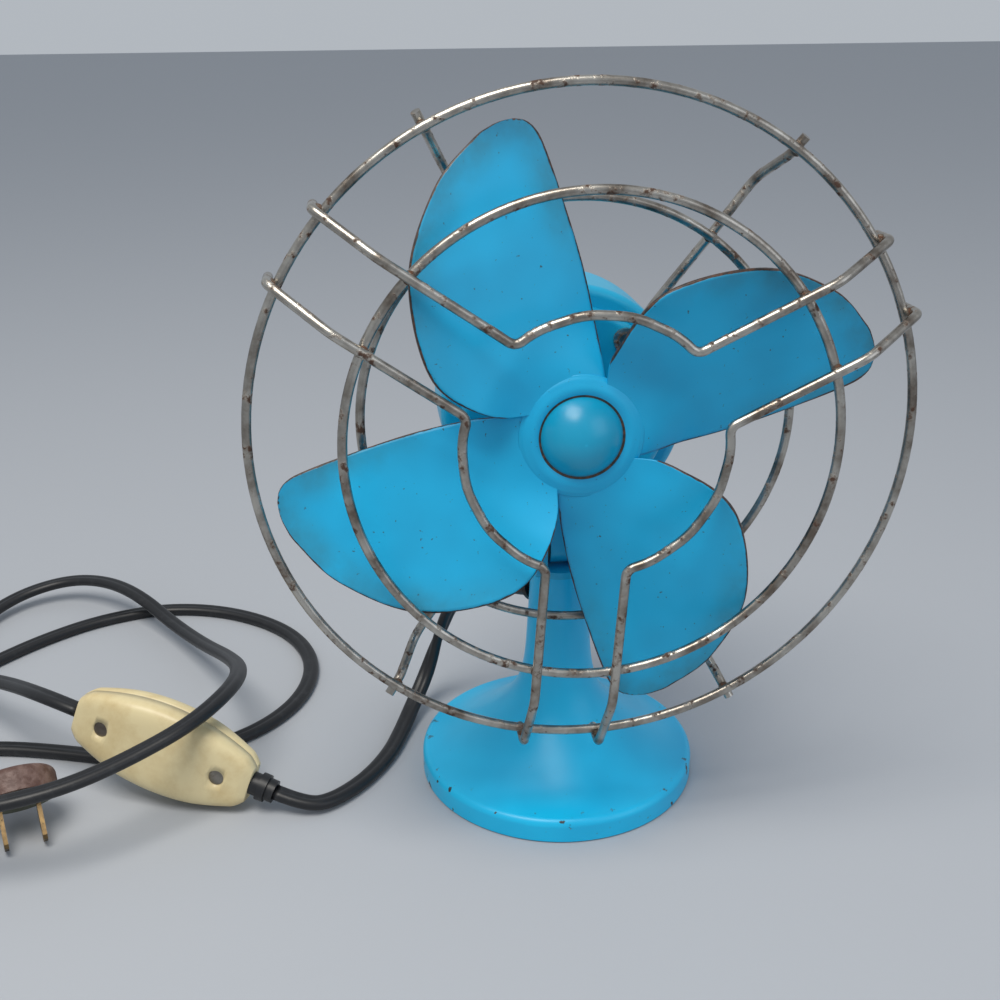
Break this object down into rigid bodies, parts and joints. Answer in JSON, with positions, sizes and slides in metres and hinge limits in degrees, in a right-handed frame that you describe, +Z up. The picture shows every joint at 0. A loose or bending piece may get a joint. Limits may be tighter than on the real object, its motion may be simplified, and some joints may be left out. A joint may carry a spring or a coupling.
{
  "type": "desk fan",
  "caption": "Small enamelled desk fan on a round base with a tilting head, lobed blades in an open wire guard, and a lead with an in-line switch and plug.",
  "frame": {"origin": "middle of the base's resting face", "axes": "+Z up, the fan blows towards -Y, +X to the right as seen from the front"},
  "size_m": [0.3627, 0.2191, 0.2512],
  "materials": {
    "stand_enamel": "gloss stove enamel, chipped at the rim",
    "motor_enamel": "gloss stove enamel",
    "blade_enamel": "gloss enamel on pressed sheet, rusty at the edges",
    "cap_enamel": "gloss enamel",
    "guard_wire": "aged plated wire with rust specks",
    "fastener_steel": "plated steel",
    "lamination": "stacked sheet, varnished",
    "copper": "varnished winding",
    "bronze": "bright metal",
    "end_ring": "cast",
    "felt": "pressed felt",
    "fibre": "grey-green vulcanised fibre",
    "black_rubber": "semi-matt, dusty",
    "ivory_plastic": "satin moulding",
    "actuator_plastic": "satin moulding",
    "brown_bakelite": "worn moulding"
  },
  "bodies": {
    "stand": {"stand_shell": "stand_enamel", "base_plate": "fastener_steel", "base_pad": "felt", "base_screws": "fastener_steel", "yoke": "motor_enamel", "friction_washers": "fibre", "tilt_washers": "fastener_steel", "tilt_bolt": "fastener_steel", "wing_nut": "fastener_steel", "cord_grommet": "black_rubber", "switch_back": "ivory_plastic", "switch_front": "ivory_plastic", "switch_screws": "fastener_steel", "switch_contacts": "bronze", "switch_sleeve": "black_rubber", "plug_body": "brown_bakelite", "plug_face": "fibre", "plug_pins": "bronze", "cord_fan_side": "black_rubber", "cord_plug_side": "black_rubber"},
    "head": {"motor_front": "motor_enamel", "motor_rear": "motor_enamel", "housing_screws": "fastener_steel", "tilt_lug": "motor_enamel", "stator_core": "lamination", "stator_coils": "copper", "front_bush": "bronze", "rear_bush": "bronze", "guard_outer_ring": "guard_wire", "guard_front_ring": "guard_wire", "guard_rear_ring": "guard_wire", "guard_front_wires": "guard_wire", "guard_rear_spokes": "guard_wire", "guard_screws": "fastener_steel"},
    "rotor": {"rotor_shaft": "fastener_steel", "rotor_core": "lamination", "rotor_end_rings": "end_ring", "thrust_washers": "fibre", "blade_collar": "fastener_steel", "set_screw": "fastener_steel", "fan_blade": "blade_enamel", "hub_cap": "cap_enamel"},
    "slider": {"switch_slider": "actuator_plastic"}
  },
  "joints": [
    {"name": "head_tilt", "type": "hinge", "parent": "stand", "child": "head", "pos_m": [0, 0, 0.091], "axis": [-1, 0, 0], "range_deg": [-15, 35]},
    {"name": "fan_spin", "type": "hinge", "parent": "head", "child": "rotor", "pos_m": [0, -0.04448, 0.14584], "axis": [0, -0.9976, 0.0698], "continuous": true},
    {"name": "switch_slide", "type": "slide", "parent": "stand", "child": "slider", "axis": [0.8957, -0.3349, -0.2924], "range_m": [0, 0.005]}
  ]
}
